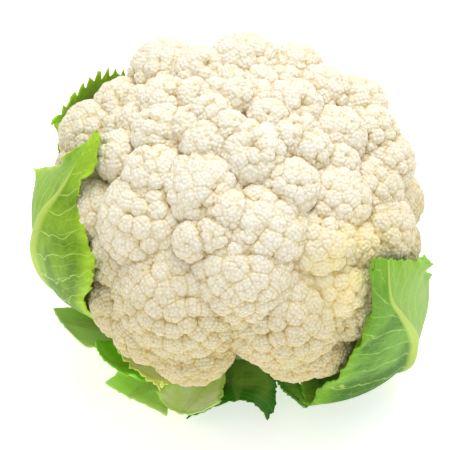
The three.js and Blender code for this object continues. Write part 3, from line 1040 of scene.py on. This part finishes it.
@dataclass(frozen=True)
class StemFinish:
    """Pale green bark with fibres, and a drier cut face."""

    bark: int = 0xD3DDA6
    streak: int = 0xB4C47C
    cut: int = 0xE9E6C8
    dry: int = 0xC9B98A
    fibre: float = 0.0016
    squeeze: float = 0.12
    pore: float = 0.0009
    ring_inside: tuple[float, float] = (0.0175, 0.019)
    ring_outside: tuple[float, float] = (0.0205, 0.022)
    face_height: tuple[float, float] = (0.0002, 0.0018)
    depth: float = 0.0003

    def material(self) -> bpy.types.Material:
        """Makes the finish.

        Returns:
            The material: fibres up the sides, rings of pith on the cut face.
        """
        p = Painter("stem")
        at = p.places()
        x, y, z = p.split(at)
        out = p.maths("SQRT", x * x + y * y)
        fibre = p.fibres(at, self.fibre, self.squeeze)
        pores = p.noise(at, self.pore)
        side = p.blend(p.step(fibre, 0.4, 0.75), self.bark, self.streak)
        ring = p.step(out, *self.ring_inside) * (1 - p.step(out, *self.ring_outside))
        face = p.blend(p.step(pores, 0.45, 0.8) * 0.4 + ring * 0.5, self.cut, self.dry)
        colour = p.blend(1 - p.step(z, *self.face_height), side, face)
        normal = p.bump(fibre * 0.6 + pores * 0.4, self.depth)
        return p.finish(Base_Color=colour, Roughness=0.58, Specular_IOR_Level=0.4, Normal=normal)


@dataclass
class Stem:
    """The cut stem that the head stands on, with the scars of trimmed leaves."""

    radius: float = 26.0
    height: float = 24.0
    bevel: float = 1.5
    sides: int = 96
    cuts: int = 7
    rim_start: float = 0.93
    bark_wave: float = 0.35
    bark_ridges: int = 17
    scars: int = 9
    scar_width: float = 9.0
    scar_height: float = 3.2
    scar_depth: float = 1.1
    scar_groove: float = 0.8
    scar_dent: float = 0.35
    scars_lowest: float = 6.0
    scars_spread: float = 13.0

    def scar(self, index: int, turn: np.ndarray, height: np.ndarray) -> np.ndarray:
        """The scar that one trimmed leaf left: a groove round a shallow dent.

        Args:
            index: of the scar, on a golden-angle spiral.
            turn: of each point, in radians.
            height: of each point.

        Returns:
            How deep the bark lies there, before it is scaled.
        """
        middle = index * GOLDEN_TURN
        level = self.scars_lowest + self.scars_spread * (index * GOLDEN_SHARE % 1)
        aside = ((turn - middle + math.pi) % (2 * math.pi) - math.pi) * self.radius
        far = np.sqrt((aside / self.scar_width) ** 2 + ((height - level) / self.scar_height) ** 2)
        groove, dent = np.exp(-((far - 1) ** 2) / 0.03), far < 1
        return groove * self.scar_groove + dent * self.scar_dent

    def build(self) -> None:
        """Models the stem as a bevelled cylinder, then presses the scars into it."""
        deselect()
        bpy.ops.mesh.primitive_cylinder_add(
            vertices=self.sides,
            radius=self.radius * MM,
            depth=self.height * MM,
            location=(0, 0, self.height * MM / 2),
            end_fill_type="TRIFAN",
        )
        piece = bpy.context.object
        bpy.ops.object.transform_apply(location=True)
        with editing(piece):
            bpy.ops.mesh.subdivide(number_cuts=self.cuts)
        points = read_points(piece) / MM
        height = points[:, 2]
        turn = np.arctan2(points[:, 1], points[:, 0])
        rim = smooth_step(np.hypot(points[:, 0], points[:, 1]), self.radius * self.rim_start, self.radius)
        press = self.bevel - np.sqrt(np.maximum(0, self.bevel**2 - (self.bevel - height).clip(0) ** 2))
        bark = np.sin(turn * self.bark_ridges) * np.sin(height * 0.5 + turn * 3)
        press += self.bark_wave * (1 + bark) / 2
        for index in range(self.scars):
            press += self.scar_depth * self.scar(index, turn, height)
        points[:, :2] *= (1 - rim * press / self.radius)[:, None]
        write_points(piece, points * MM)
        hand_over(piece, "stem_cut", StemFinish().material(), "stem")


# ---- leaves -------------------------------------------------------------------------------------


@dataclass(frozen=True)
class LeafFinish:
    """A waxy blade with pale veins, and one side that can be paler: waxy bloom on some leaves, painted light
    on others.

    The widths of the veins and the rib are in millimetres, as the leaf's own sizes are. The mesh is the fine
    net between the veins, and its scale is in cells a metre.
    """

    blade: int = 0x749E1C
    light: int = 0x98BC34
    margin: int = 0xA4D026
    bloom_and_lit: int = 0x8EB856
    vein: int = 0xC4DC74
    rib: int = 0xBED664
    bloom_and_lit_side: float = 0.0
    bloom_and_lit_edge: float = 0.4
    bloom_and_lit_strength: float = 0.5
    tip_light: float = 0.3
    vein_strength: float = 0.7
    rib_strength: float = 0.85
    veins: float = 9.0
    lean_low: float = 4.0
    lean_high: float = 1.5
    rib_width: float = 5.0
    rib_tip_width: float = 0.8
    vein_width: float = 0.7
    vein_offset: float = 0.37
    fork_start: float = 0.35
    fork_width: float = 0.42
    fork_offset: float = 0.61
    fork_share: float = 0.6
    wander_size: float = 0.014
    wander: float = 1.1
    mesh_scale: float = 210.0
    mesh_line: float = 0.09
    mesh_share: float = 0.2
    rib_edge: tuple[float, float] = (0.45, 1.15)
    rib_fade: tuple[float, float] = (0.12, 0.4)
    side_margin: tuple[float, float] = (0.75, 1.0)
    tip_margin: tuple[float, float] = (0.88, 1.0)
    margin_share: float = 0.8
    tone_size: float = 0.02
    puff_size: float = 0.006
    puff_depth: float = 0.0006
    vein_depth: float = 0.0005

    def material(self, name: str, length: float, half_width: float) -> bpy.types.Material:
        """Makes the finish.

        Args:
            name: the material's name.
            length: of the leaf along its rib.
            half_width: from its rib to its margin.

        Returns:
            The material, which follows the leaf's own map.
        """
        p = Painter(name)
        sideways, along, _ = p.split(p.node("ShaderNodeUVMap", {"uv_map": "Leaf"}))
        across = sideways * 2 - 1
        at = p.places()
        wander = (p.noise(at, self.wander_size) - 0.5) * self.wander
        out = abs(across)
        high = p.step(across, -0.02, 0.02)
        thin = 1.15 - out * 0.75

        def family(count: float, start: float, width: float, offset: float) -> Wire:
            """Draws one family of side veins.

            Args:
                count: how many leave the rib on either side.
                start: how far out they start, from 0 at the rib to 1 at the margin.
                width: of a vein.
                offset: how far the two sides are out of step, in veins.

            Returns:
                1 on a vein and 0 beside it.
            """
            lean = self.lean_low + high * (self.lean_high - self.lean_low)
            phase = along * count - out**0.8 * lean * (count / self.veins) + wander + high * offset
            nearest = abs(p.maths("FRACT", phase + 64.5) - 0.5) * (length / count)
            line = 1 - p.step(nearest / thin, width * 0.35, width)
            return line * p.step(out, start, start + 0.15)

        side = family(self.veins, 0.0, self.vein_width, self.vein_offset)
        fork = family(self.veins * 2, self.fork_start, self.fork_width, self.fork_offset)
        veins = p.maths("MAXIMUM", side, fork * self.fork_share) * self.vein_strength
        inputs = {"Vector": at, "Scale": self.mesh_scale}
        edge = p.node("ShaderNodeTexVoronoi", {"feature": "DISTANCE_TO_EDGE"}, inputs)
        mesh = 1 - p.step(edge, 0.0, self.mesh_line)
        rib_width = self.rib_width + along * (self.rib_tip_width - self.rib_width)
        rib = 1 - p.step(out * half_width / rib_width, *self.rib_edge)

        tone = p.noise(at, self.tone_size, 3.0) + (along - 0.5) * self.tip_light
        colour = p.blend(p.step(tone, 0.35, 0.7), self.blade, self.light)
        # one side paler: waxy bloom on some leaves, a painted lit fold on leaf_right
        if self.bloom_and_lit_side:
            bloom_and_lit = p.step(across * self.bloom_and_lit_side, 0.0, self.bloom_and_lit_edge)
            colour = p.blend(bloom_and_lit * self.bloom_and_lit_strength, colour, self.bloom_and_lit)
        margin = p.maths("MAXIMUM", p.step(out, *self.side_margin), p.step(along, *self.tip_margin))
        colour = p.blend(margin * self.margin_share, colour, self.margin)
        colour = p.blend(mesh * self.vein_strength * self.mesh_share, colour, self.vein)
        colour = p.blend(veins, colour, self.vein)
        colour = p.blend(rib * p.step(along, *self.rib_fade) * self.rib_strength, colour, self.rib)

        raised = p.maths("MAXIMUM", veins, mesh * 0.15)
        puff = p.noise(at, self.puff_size) * (1 - p.maths("MAXIMUM", raised, rib))
        normal = p.bump(puff, self.puff_depth, p.bump(raised, self.vein_depth))
        return p.finish(
            Base_Color=colour,
            Roughness=0.55,
            Specular_IOR_Level=0.14,
            Subsurface_Weight=0.3,
            Subsurface_Radius=(0.0008, 0.0015, 0.0003),
            Subsurface_Scale=1.0,
            Normal=normal,
        )


@dataclass
class Leaf:
    """One leaf: a blade on a net of rows from the stem to the tip.

    A row holds the margin on the side of the smaller turn, the rib, and the other margin, each as a turn, a
    reach from the axis and a height.
    """

    name: str
    rows: tuple[Row, ...]
    finish: LeafFinish
    ruffle: float = 1.0
    waves: float = 3.0
    teeth: float = 0.03
    slot: str = "leaf"
    grain: float = 1.0
    thickness: float = 0.8
    rib_width: float = 5.5
    rib_tip_width: float = 1.2
    rib_height: float = 4.5
    rib_tip_height: float = 0.4
    teeth_per_wave: float = 1.6
    crinkle: float = 0.9
    ragged: float = 0.03
    octave: float = 1.7
    swells: tuple[float, ...] = (0.5, 0.35, 0.25)
    margin_tears: float = 17.0
    tip_tears: float = 9.0
    margin_curls: float = 11.0
    tip_curls: float = 6.0
    side_offset: float = 0.37
    seed: int = 1

    def column(self, which: int, along: np.ndarray) -> np.ndarray:
        """Places down one column of the net, on a smooth curve through its rows.

        Args:
            which: 0, 1 or 2 for the low margin, the rib and the high margin.
            along: shares of the way from the stem to the tip.

        Returns:
            A turn, a reach and a height for each share.
        """
        knots = np.array([row[which] for row in self.rows], float)
        knots = np.vstack([2 * knots[0] - knots[1], knots, 2 * knots[-1] - knots[-2]])
        spans = len(knots) - 3
        place = np.clip(along, 0, 1) * spans
        i = np.minimum(place.astype(int), spans - 1)
        w = (place - i)[..., None]
        before, start, end, after = (knots[i + k] for k in range(4))
        leaving, arriving = (end - before) / 2, (after - start) / 2
        cubic = 2 * start - 2 * end + leaving + arriving
        square = 3 * end - 3 * start - 2 * leaving - arriving
        return start + leaving * w + square * w**2 + cubic * w**3

    def net(self, along: np.ndarray, across: np.ndarray) -> np.ndarray:
        """Points of the net.

        Args:
            along: shares from the stem to the tip.
            across: from -1 at the low margin to 1 at the high one.

        Returns:
            The points.
        """
        low, rib, high = (self.column(k, along) for k in range(3))
        v = across[..., None]
        place = rib + (high - low) * v / 2 + (high + low - 2 * rib) * v**2 / 2
        turn = np.radians(place[..., 0])
        return np.stack([place[..., 1] * np.cos(turn), place[..., 1] * np.sin(turn), place[..., 2]], axis=-1)

    def wavelets(self, at: np.ndarray, lowest: float, rng: np.random.Generator) -> np.ndarray:
        """An uneven wave about 1 high.

        Args:
            at: where it is read, from 0 to 1.
            lowest: how many waves its slowest part has in that span.
            rng: draws the phases.

        Returns:
            Its height at each place.
        """
        total = np.zeros_like(at)
        for k, size in enumerate(self.swells):
            waves = lowest * self.octave**k
            total += size * np.sin(2 * math.pi * waves * at + rng.uniform(0, 2 * math.pi))
        return total

    def surface(self, along: np.ndarray, across: np.ndarray) -> tuple[np.ndarray, np.ndarray]:
        """The middle of the blade's thickness, toothed, ragged and waved, and the way out of the head.

        High powers of the shares keep the teeth, the tears and the curls to the margins and the tip.

        Args:
            along: shares from the stem to the tip.
            across: from -1 to 1.

        Returns:
            The points and their outward normals.
        """
        rng = np.random.default_rng(self.seed)
        step = 0.01
        out = np.abs(across)
        from_low = (across + 1) / 2
        by_side = along + np.where(across > 0, self.side_offset, 0.0)
        saw = 1 - np.abs((along * self.waves * self.teeth_per_wave) % 1 * 2 - 1)
        torn = self.ragged * self.wavelets(by_side, self.margin_tears, rng) * out**10
        v = across * (1 - self.teeth * saw * out**3 - torn)
        worn = self.ragged * (0.6 + self.wavelets(from_low, self.tip_tears, rng)) * along**12
        u = np.minimum(along * (1 - worn), 1)
        onward = self.net(np.minimum(u + step, 1), v) - self.net(np.maximum(u - step, 0), v)
        sideways = self.net(u, v + step) - self.net(u, v - step)
        normal = unit(np.cross(sideways, onward))
        wave = self.ruffle * out**4 * along * np.sin(2 * math.pi * self.waves * along + across)
        curl = self.wavelets(by_side, self.margin_curls, rng) * out**9 * smooth_step(along, 0.1, 0.4)
        curl += self.wavelets(from_low, self.tip_curls, rng) * along**14
        return self.net(u, v) + normal * (wave + self.crinkle * curl)[..., None], normal

    def spans(self) -> tuple[float, float]:
        """Measures the leaf.

        Returns:
            The length of its rib, and the mean distance from the rib to a margin.
        """
        along = np.linspace(0, 1, 60)
        low, rib, high = (self.net(along, np.full_like(along, v)) for v in (-1.0, 0.0, 1.0))
        sides = [np.linalg.norm(margin - rib, axis=1).mean() for margin in (low, high)]
        return float(np.linalg.norm(np.diff(rib, axis=0), axis=1).sum()), float(np.mean(sides))

    def build(self) -> None:
        """Models the leaf as a sheet, gives it its thickness and its rib, and dresses it."""
        length, half_width = self.spans()
        deselect()
        bpy.ops.mesh.primitive_grid_add(
            x_subdivisions=round(2 * half_width / self.grain),
            y_subdivisions=round(length / self.grain),
            size=2,
        )
        piece = bpy.context.object
        piece.data.uv_layers[0].name = "Leaf"
        sheet = read_points(piece)
        across, along = sheet[:, 0], (sheet[:, 1] + 1) / 2
        solidify = piece.modifiers.new("thickness", "SOLIDIFY")
        solidify.thickness = self.thickness * MM
        apply_modifiers(piece)
        points, normals = self.surface(along, across)
        rib = self.net(along, np.zeros_like(along))
        width = self.rib_width + (self.rib_tip_width - self.rib_width) * along
        height = self.rib_height + (self.rib_tip_height - self.rib_height) * along
        ridge = height * np.exp(-((np.linalg.norm(points - rib, axis=1) / width) ** 2))
        inner = points - normals * self.thickness / 2
        outer = points + normals * (self.thickness / 2 + ridge)[:, None]
        write_points(piece, np.vstack([outer, inner]) * MM)
        face_outwards(piece)
        material = self.finish.material(self.name, length, half_width)
        hand_over(piece, f"{self.name}_blade", material, self.name)


ROOT = 27.0  # leaves stand this far from the axis where they leave the stem

LEAVES = (
    Leaf(
        "leaf_left",
        (
            ((171, ROOT, 15), (180, ROOT, 14), (189, ROOT, 15)),
            ((161, 60, 28), (183, 62, 25), (204, 60, 30)),
            ((160, 82, 46), (187, 84, 43), (214.5, 81, 71)),
            ((163, 91, 62), (188, 91, 67), (220.5, 79, 99.5)),
            ((169, 93, 80), (191, 87, 93), (209.5, 73, 98.5)),
            ((168, 90.5, 87.5), (191, 77.5, 108), (198, 72.5, 110)),
            ((182, 73.5, 117), (188, 70, 119), (196, 68, 120.5)),
            ((173, 63, 119), (175, 61, 124.5), (187, 59, 133)),
        ),
        # its low side is paler
        LeafFinish(
            blade=0x608A16, light=0x90B82A, margin=0xAED62C, bloom_and_lit=0x82AE48, bloom_and_lit_side=-1.0,
            tip_light=1.0, veins=11, lean_low=5.5, lean_high=1.2,
        ),
        ruffle=2.5, waves=5, teeth=0.03, ragged=0.02, crinkle=1.3,
    ),
    Leaf(
        "leaf_back_left",
        (
            ((136, ROOT, 15), (144, ROOT, 14), (152, ROOT, 15)),
            ((128, 58, 26), (143, 61, 22), (154, 59, 26)),
            ((126, 80, 46), (142, 86, 44), (155, 84, 48)),
            ((127, 84, 78), (142, 90, 78), (156, 88, 78)),
            ((131, 77, 110), (144, 82, 116), (160, 88, 104)),
        ),
        LeafFinish(blade=0x7EBA2E, light=0xA4D65A, vein_strength=0.4),
        ruffle=3, waves=4, teeth=0.015, ragged=0.04, seed=2,
    ),
    Leaf(
        "leaf_right",
        (
            ((322, ROOT, 12), (330, ROOT, 11), (338, ROOT, 12)),
            ((302, 48, 16), (331, 56, 11), (348, 54, 14)),
            ((295, 66, 20), (333, 80, 17), (353, 75, 20)),
            ((298, 73, 36), (332, 85, 36), (354, 82, 40)),
            ((302, 80, 54), (327, 86, 55), (351, 83, 50)),
            ((307, 84, 72), (320, 86, 77), (347, 83.5, 60)),
            ((313, 80, 88), (315.5, 85, 94), (345, 84, 70)),
            ((312, 80, 115), (318.5, 79, 109.5), (340, 85, 82)),
        ),
        # painted light: the high side is painted lighter, as the lit flap of a fold
        LeafFinish(
            blade=0x427418, light=0x70A434, margin=0x86BC34, bloom_and_lit=0x9CC458, bloom_and_lit_side=1.0,
            bloom_and_lit_edge=0.12, bloom_and_lit_strength=0.65, tip_light=0.7, vein_strength=0.5, veins=10, lean_low=1.5,
            lean_high=5.0,
        ),
        ruffle=2.5, waves=4.5, teeth=0.015, ragged=0.012, crinkle=1.0, seed=3,
    ),
    Leaf(
        "leaf_stub_left",
        (
            ((186, ROOT, 8), (195, ROOT, 7), (204, ROOT, 8)),
            ((184, 48, 13), (193, 48, 10), (207, 48, 13)),
            ((185, 70, 20), (192, 69, 16.5), (205, 66, 18)),
            ((187, 87, 26), (191, 84.5, 23), (202, 76, 20)),
        ),
        # its high half is paler
        LeafFinish(
            blade=0xA8CC5C, light=0xC8E080, margin=0xC2DA88, bloom_and_lit=0xD8EC9C, bloom_and_lit_side=1.0,
            bloom_and_lit_edge=0.15, bloom_and_lit_strength=0.9, vein_strength=0.08, rib_strength=0.1,
        ),
        ruffle=0.6, waves=2, teeth=0.0, ragged=0.006, crinkle=0.3, seed=4,
    ),
    Leaf(
        "leaf_front_left",
        (
            ((208, ROOT, 15), (216, ROOT, 14), (224, ROOT, 15)),
            ((202, 50, 17), (217, 51, 15), (232, 49, 17)),
            ((203, 63, 20), (216, 65, 19), (228, 64, 21)),
            ((206, 73.5, 28), (215, 75, 30), (227, 74.5, 34)),
        ),
        LeafFinish(blade=0x98EC20, light=0xBCF060, margin=0x8CDC34, vein_strength=0.15, rib_strength=0.35),
        teeth=0.0, ragged=0.006, crinkle=0.3, slot="leaf_vivid", seed=5,
    ),
    Leaf(
        "leaf_front_inner",
        (
            ((229, ROOT, 19), (234, ROOT, 18.5), (239, ROOT, 19)),
            ((221, 48, 26), (230, 49, 24), (240, 48, 24)),
            ((213, 61, 30), (226, 63, 30), (241, 64, 30)),
            ((213, 69, 33), (226, 71, 35), (240, 72.5, 36)),
        ),
        LeafFinish(blade=0xE0EC8C, light=0xF2F6C8, margin=0xDCEC5C, vein_strength=0.2, rib_strength=0.3),
        ruffle=2, waves=5, teeth=0.08, ragged=0.06, crinkle=1.4, slot="leaf_pale", seed=6,
    ),
    Leaf(
        "leaf_front_outer",
        (
            ((216, ROOT, 8), (225, ROOT, 7), (234, ROOT, 8)),
            ((212, 46, 9), (225, 46, 7), (237, 46, 9)),
            ((210, 62, 9), (224, 62, 7), (237, 61, 8.5)),
            ((214, 74, 8), (227, 73, 15), (241.5, 69, 12.5)),
        ),
        LeafFinish(blade=0xC8E470, light=0xE8F4B8, margin=0xC6E47C, vein_strength=0.15, rib_strength=0.3),
        ruffle=1.2, teeth=0.0, ragged=0.006, crinkle=0.3, seed=7,
    ),
    Leaf(
        "leaf_front_low",
        (
            ((241, ROOT, 14), (248, ROOT, 12), (255, ROOT, 14)),
            ((238, 44, 17), (248, 44, 12), (260, 44, 17)),
            ((236, 57, 18), (247, 57, 11), (261, 56, 21)),
            ((234, 66, 20), (246, 66, 12), (261, 62, 24)),
        ),
        LeafFinish(blade=0xD4EA88, light=0xF2F8D8, margin=0xBCDC60, vein_strength=0.15, rib_strength=0.3),
        slot="leaf_pale", teeth=0.01, ragged=0.015, crinkle=0.5, seed=8,
    ),
    Leaf(
        "leaf_front",
        (
            ((260, ROOT, 8), (268, ROOT, 8), (276, ROOT, 8)),
            ((254, 40, 6), (268, 41, 14), (286, 42, 19)),
            ((249, 50, 6), (268, 51, 18), (288, 50, 13)),
            ((247, 61, 1.5), (268, 57, 17.5), (281.5, 58.5, 3)),
        ),
        LeafFinish(
            blade=0x2E700A, light=0x74983C, margin=0x2E6C10, tip_light=-0.7, vein_strength=0.08,
            rib_strength=0.15,
        ),
        ruffle=1.2, slot="leaf_dark", teeth=0.01, ragged=0.02, seed=9,
    ),
    Leaf(
        "leaf_front_scrap",
        (
            ((288, ROOT, 8), (294, ROOT, 7), (300, ROOT, 8)),
            ((289, 42, 13), (296, 42, 10), (302, 42, 10)),
            ((291, 52, 15), (297, 54, 10), (303, 54, 8)),
            ((295, 58, 11), (298, 60, 7), (301, 59, 5)),
        ),
        LeafFinish(blade=0x3C7C12, light=0x5C9A2C, margin=0x5C9830, vein_strength=0.2, rib_strength=0.3),
        ruffle=0.8, waves=2, teeth=0.08, slot="leaf_dark", seed=10,
    ),
    Leaf(
        "leaf_right_back",
        (
            ((13, ROOT, 8), (22, ROOT, 7), (31, ROOT, 8)),
            ((8, 50, 14), (22, 50, 10), (36, 50, 14)),
            ((8, 68, 24), (22, 70, 20), (36, 68, 24)),
            ((11, 81, 38), (22, 83, 35), (33, 81, 40)),
        ),
        LeafFinish(),
        seed=11,
    ),
    Leaf(
        "leaf_back_right",
        (
            ((54, ROOT, 15), (62, ROOT, 14), (70, ROOT, 15)),
            ((45, 58, 22), (62, 60, 16), (79, 58, 22)),
            ((42, 80, 42), (62, 85, 36), (82, 80, 42)),
            ((44, 87, 58), (62, 90, 56), (80, 87, 58)),
            ((52, 87, 70), (62, 89, 72), (72, 87, 70)),
        ),
        LeafFinish(),
        ruffle=2.5, waves=4, seed=12,
    ),
    Leaf(
        "leaf_back",
        (
            ((92, ROOT, 8), (101, ROOT, 7), (110, ROOT, 8)),
            ((87, 58, 16), (102, 60, 12), (117, 58, 16)),
            ((85, 80, 38), (103, 85, 34), (121, 80, 38)),
            ((86, 87, 60), (103, 90, 58), (120, 86, 60)),
            ((94, 87, 78), (103, 89, 80), (112, 87, 78)),
        ),
        LeafFinish(),
        ruffle=2.5, waves=4, seed=13,
    ),
)  # fmt: skip


# ---- studio -------------------------------------------------------------------------------------


@dataclass
class Studio:
    """A pale floor, soft lights and the camera."""

    target: Place = (0.0, 0.0, 0.078)
    elevation: float = 48.0
    distance: float = 0.85
    frame_width: float = 0.198
    picture_size: float = 450.0
    target_right: float = 17.0
    target_up: float = 11.0
    sensor: float = 36.0
    surround: float = 0.6
    floor_size: float = 6.0
    floor_white: tuple[float, float, float] = (0.9, 0.9, 0.9)
    floor_glow: float = 0.6
    # Name, place, side in metres, and power in watts.
    lamps: tuple[tuple[str, Place, float, float], ...] = (
        ("above", (0.25, 0.8, 2.2), 1.8, 43.0),
        ("front", (-0.5, -1.7, 0.4), 1.4, 3.0),
    )

    def camera(self) -> None:
        """Places the camera and makes it the scene's."""
        data = bpy.data.cameras.new("camera")
        data.sensor_width = self.sensor
        data.lens = self.sensor * self.distance / self.frame_width
        data.shift_x = -self.target_right / self.picture_size
        data.shift_y = -self.target_up / self.picture_size
        data.clip_start = 0.01
        camera = bpy.data.objects.new("camera", data)
        bpy.context.scene.collection.objects.link(camera)
        lean = math.radians(self.elevation)
        away = Vector((0, -math.cos(lean), math.sin(lean))) * self.distance
        camera.location = Vector(self.target) + away
        camera.rotation_euler = (-away).to_track_quat("-Z", "Y").to_euler()
        bpy.context.scene.camera = camera

    def lamp(self, name: str, place: Place, size: float, power: float) -> None:
        """A square soft light that faces the head.

        Args:
            name: the light's name.
            place: where it hangs, in metres.
            size: its side, in metres.
            power: in watts.
        """
        data = bpy.data.lights.new(name, "AREA")
        data.size = size
        data.energy = power
        lamp = bpy.data.objects.new(name, data)
        bpy.context.scene.collection.objects.link(lamp)
        lamp.location = place
        aim = Vector(self.target) - Vector(place)
        lamp.rotation_euler = aim.to_track_quat("-Z", "Y").to_euler()

    def lights(self) -> None:
        """A bright surround, with a large soft light above and a weak one in front."""
        world = bpy.data.worlds.new("surround")
        world.use_nodes = True
        background = world.node_tree.nodes["Background"]
        background.inputs["Color"].default_value = (1.0, 1.0, 1.0, 1.0)
        background.inputs["Strength"].default_value = self.surround
        bpy.context.scene.world = world
        for lamp in self.lamps:
            self.lamp(*lamp)

    def floor(self) -> None:
        """A plain pale floor."""
        deselect()
        bpy.ops.mesh.primitive_plane_add(size=self.floor_size)
        floor = bpy.context.object
        floor.name = "floor"
        white, glow = self.floor_white, self.floor_glow
        pale = Painter("floor").finish(
            Base_Color=white, Roughness=0.9, Emission_Color=white, Emission_Strength=glow
        )
        floor.data.materials.append(pale)

    def build(self) -> None:
        """Sets the studio up."""
        bpy.context.scene.view_settings.view_transform = "Standard"
        self.camera()
        self.lights()
        self.floor()


def corners(bounds: tuple[Vector, Vector]) -> list[list[float]]:
    """A box as plain lists of numbers."""
    return [[float(x) for x in corner] for corner in bounds]


def main() -> None:
    """Builds the studio and the head."""
    logging.basicConfig(level=logging.INFO, format="%(name)s %(message)s")
    Studio().build()
    Head().build()
    Trunk().build()
    Stem().build()
    for leaf in LEAVES:
        leaf.build()


if __name__ == "__main__":
    main()
